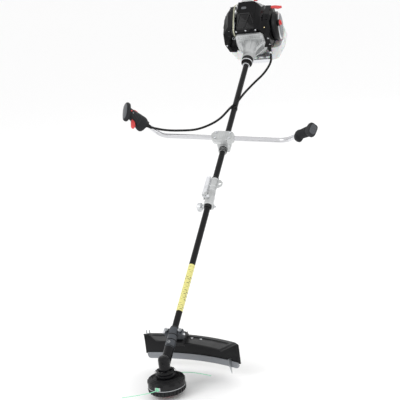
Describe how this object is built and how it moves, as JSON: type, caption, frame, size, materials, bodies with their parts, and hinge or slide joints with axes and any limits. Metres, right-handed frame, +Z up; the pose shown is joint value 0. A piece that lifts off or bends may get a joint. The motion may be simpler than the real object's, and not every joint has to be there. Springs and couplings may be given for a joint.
{
  "type": "petrol string trimmer",
  "caption": "Petrol string trimmer: engine, split straight shaft, bike handlebar with throttle grip, curved guard and bump-feed line head.",
  "frame": {"origin": "lowest point of the bump button, where the cutting head touches the ground", "axes": "+Z up along the cutting head's spin axis, +Y from the head towards the engine and operator, +X to the operator's right; the shaft leans 57 degrees from +Z towards +Y"},
  "size_m": [0.8045, 1.7603, 1.2371],
  "materials": {
    "bar_steel": "bright",
    "black_paint": "satin black",
    "black_plastic": "moulded, satin",
    "cast_aluminium": "cast, bead blasted",
    "dark_red": "dark red",
    "gloss_black": "high gloss black",
    "grey_plastic": "grey",
    "grey_sleeve": "dark metallic grey",
    "nylon_line": "green nylon",
    "pale_cap": "pale grey",
    "red_plastic": "red control",
    "rubber": "matt black",
    "silver_paint": "silver",
    "soft_grip": "soft black",
    "steel": "machined",
    "tank_plastic": "translucent white",
    "white_lever": "white",
    "zinc": "bright zinc plated"
  },
  "bodies": {
    "frame": {"air_filter_cover": "black_plastic", "carburetor": "cast_aluminium", "clamp_base": "cast_aluminium", "clamp_cap": "cast_aluminium", "clutch_housing": "cast_aluminium", "coupler_body": "cast_aluminium", "crankcase": "cast_aluminium", "cylinder": "cast_aluminium", "engine_cowl": "gloss_black", "engine_stand": "zinc", "fuel_tank": "tank_plastic", "gearcase": "black_paint", "grip_shell_lower": "soft_grip", "grip_shell_upper": "soft_grip", "guard_bracket": "grey_sleeve", "guard_shell": "black_plastic", "guard_skirt": "grey_plastic", "handlebar_left": "bar_steel", "handlebar_right": "bar_steel", "isolator_collar": "rubber", "line_cutter": "steel", "lower_tube": "gloss_black", "muffler": "steel", "muffler_cover": "black_plastic", "plain_grip": "soft_grip", "side_cowl": "gloss_black", "spark_plug": "rubber", "starter_housing": "black_plastic", "throttle_cable": "rubber", "upper_tube": "gloss_black"},
    "head": {"head_housing": "black_plastic", "head_cover": "black_plastic", "holder_flange": "black_paint", "output_spindle": "steel", "line_back": "nylon_line", "line_front": "nylon_line", "spool_spring": "steel"},
    "bump": {"bump_button": "dark_red", "spool": "grey_plastic"},
    "driveline": {"input_pinion": "steel", "drive_shaft": "steel", "clutch_drum": "steel"},
    "crank": {"crankshaft": "steel", "flywheel": "cast_aluminium", "clutch_shoes": "steel"},
    "piston": {"piston": "cast_aluminium"},
    "conrod": {"connecting_rod": "steel"},
    "starter_reel": {"starter_pulley": "grey_plastic"},
    "starter_grip": {"starter_handle": "pale_cap"},
    "trigger": {"throttle_trigger": "red_plastic"},
    "lockout": {"lockout_lever": "red_plastic"},
    "stop": {"stop_switch": "red_plastic"},
    "throttle": {"throttle_arm": "zinc"},
    "choke": {"choke_lever": "red_plastic"},
    "filter_screw": {"filter_knob": "red_plastic"},
    "primer": {"primer_bulb": "tank_plastic"},
    "fuel_cap": {"fuel_cap": "black_plastic"},
    "coupler_latch": {"coupler_lever": "white_lever"},
    "coupler_screw": {"coupler_knob": "silver_paint"},
    "coupler_pin": {"lock_pin": "zinc"}
  },
  "joints": [
    {"name": "head_spin", "type": "hinge", "parent": "frame", "child": "head", "pos_m": [0, 0, 0.107], "axis": [0, 0, 1], "continuous": true},
    {"name": "bump_press", "type": "slide", "parent": "head", "child": "bump", "axis": [0, 0, 1], "range_m": [0, 0.006], "stiffness_N_per_m": 900, "springref_m": -0.012, "deforming": ["spool_spring"]},
    {"name": "drive_spin", "type": "hinge", "parent": "frame", "child": "driveline", "pos_m": [0, 0, 0.107], "axis": [0, 0.8387, 0.5446], "continuous": true},
    {"name": "crank_spin", "type": "hinge", "parent": "frame", "child": "crank", "pos_m": [0, 1.46767, 1.06012], "axis": [0, 0.8387, 0.5446], "continuous": true},
    {"name": "piston_stroke", "type": "slide", "parent": "frame", "child": "piston", "axis": [0, 0.5446, -0.8387], "range_m": [0, 0.032]},
    {"name": "conrod_swing", "type": "hinge", "parent": "piston", "child": "conrod", "pos_m": [0, 1.46838, 1.15358], "axis": [0, 0.8387, 0.5446], "range_deg": [-14, 14]},
    {"name": "starter_pull", "type": "slide", "parent": "frame", "child": "starter_grip", "axis": [0, -0.5446, 0.8387], "range_m": [0, 0.5], "stiffness_N_per_m": 20, "springref_m": -0.3},
    {"name": "starter_reel_spin", "type": "hinge", "parent": "frame", "child": "starter_reel", "pos_m": [0, 1.5767, 1.13092], "axis": [0, 0.8387, 0.5446], "range_deg": [-10, 1000]},
    {"name": "trigger_pull", "type": "hinge", "parent": "frame", "child": "trigger", "pos_m": [-0.34069, 0.79144, 0.85014], "axis": [0.8009, -0.3261, 0.5022], "range_deg": [0, 18], "stiffness_Nm_per_rad": 0.3, "springref_deg": -20.05},
    {"name": "throttle_turn", "type": "hinge", "parent": "frame", "child": "throttle", "pos_m": [0.07, 1.45858, 1.14757], "axis": [0, -0.5446, 0.8387], "range_deg": [-2, 72]},
    {"name": "lockout_press", "type": "hinge", "parent": "frame", "child": "lockout", "pos_m": [-0.35027, 0.81172, 0.87859], "axis": [-0.8009, 0.3261, -0.5022], "range_deg": [0, 6.5], "stiffness_Nm_per_rad": 0.3, "springref_deg": -11.46},
    {"name": "stop_press", "type": "slide", "parent": "frame", "child": "stop", "axis": [-0.8009, 0.3261, -0.5022], "range_m": [0, 0.0025], "stiffness_N_per_m": 400, "springref_m": -0.002},
    {"name": "choke_turn", "type": "hinge", "parent": "frame", "child": "choke", "pos_m": [0.093, 1.49397, 1.19405], "axis": [0, -0.5446, 0.8387], "range_deg": [0, 50]},
    {"name": "filter_knob_turn", "type": "hinge", "parent": "frame", "child": "filter_screw", "pos_m": [0.1303, 1.46737, 1.12669], "axis": [1, 0, 0], "range_deg": [0, 90]},
    {"name": "primer_press", "type": "slide", "parent": "frame", "child": "primer", "axis": [0, -0.8387, -0.5446], "range_m": [0, 0.003], "stiffness_N_per_m": 300, "springref_m": -0.002},
    {"name": "fuel_cap_turn", "type": "hinge", "parent": "frame", "child": "fuel_cap", "pos_m": [-0.062, 1.63427, 1.05384], "axis": [0, 0.8387, 0.5446], "range_deg": [0, 180]},
    {"name": "latch_swing", "type": "hinge", "parent": "frame", "child": "coupler_latch", "pos_m": [-0.027, 0.67597, 0.54598], "axis": [0, -0.5446, 0.8387], "range_deg": [0, 90]},
    {"name": "coupler_screw_turn", "type": "hinge", "parent": "frame", "child": "coupler_screw", "pos_m": [0, 0.64942, 0.50608], "axis": [1, 0, 0], "range_deg": [0, 720]},
    {"name": "lock_pin_pull", "type": "slide", "parent": "frame", "child": "coupler_pin", "axis": [0, -0.5446, 0.8387], "range_m": [0, 0.006], "stiffness_N_per_m": 400, "springref_m": -0.004}
  ],
  "couplings": [
    {"joint": "drive_spin", "follows": "head_spin", "ratio": -1.3571},
    {"joint": "starter_reel_spin", "follows": "starter_pull", "rad_per_m": 34.483},
    {"joint": "throttle_turn", "follows": "trigger_pull", "ratio": 3.5}
  ]
}
